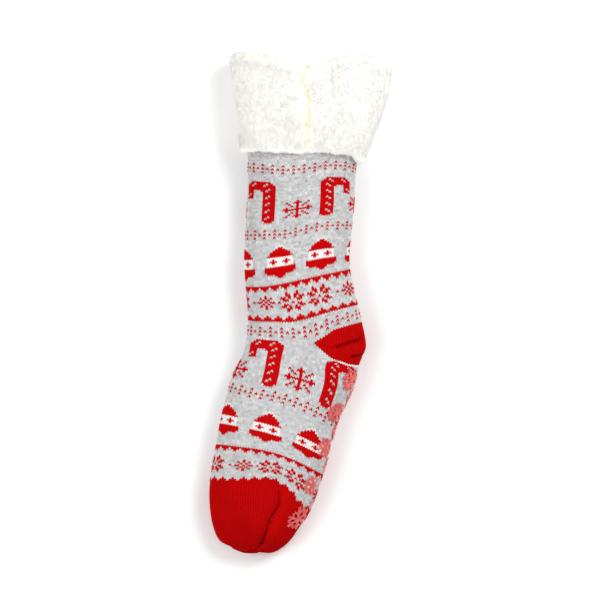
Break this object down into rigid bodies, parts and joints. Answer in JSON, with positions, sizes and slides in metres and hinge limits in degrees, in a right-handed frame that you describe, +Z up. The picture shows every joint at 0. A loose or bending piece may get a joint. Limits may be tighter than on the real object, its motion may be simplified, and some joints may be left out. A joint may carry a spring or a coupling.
{
  "type": "slipper sock",
  "caption": "Knitted slipper sock with a deep turned-down fleece cuff and snowflake grips on the sole, lying flat on its side.",
  "frame": {"origin": "middle of the sock's box, on the floor it lies on", "axes": "+Y up the leg to the collar, +X towards the heel and sole, +Z up from the floor"},
  "size_m": [0.1562, 0.4306, 0.0541],
  "materials": {
    "knit": "heather grey jacquard knit with red and white motifs, red heel and toe",
    "fleece": "creamy white curly pile fleece",
    "grip": "soft translucent red grip rubber"
  },
  "bodies": {
    "root": {"knit_sock": "knit", "fleece_cuff": "fleece", "grip_01": "grip", "grip_02": "grip", "grip_03": "grip", "grip_04": "grip", "grip_05": "grip", "grip_06": "grip", "grip_07": "grip", "grip_08": "grip", "grip_09": "grip", "grip_10": "grip", "grip_11": "grip", "grip_12": "grip", "grip_13": "grip", "grip_14": "grip"}
  },
  "joints": []
}
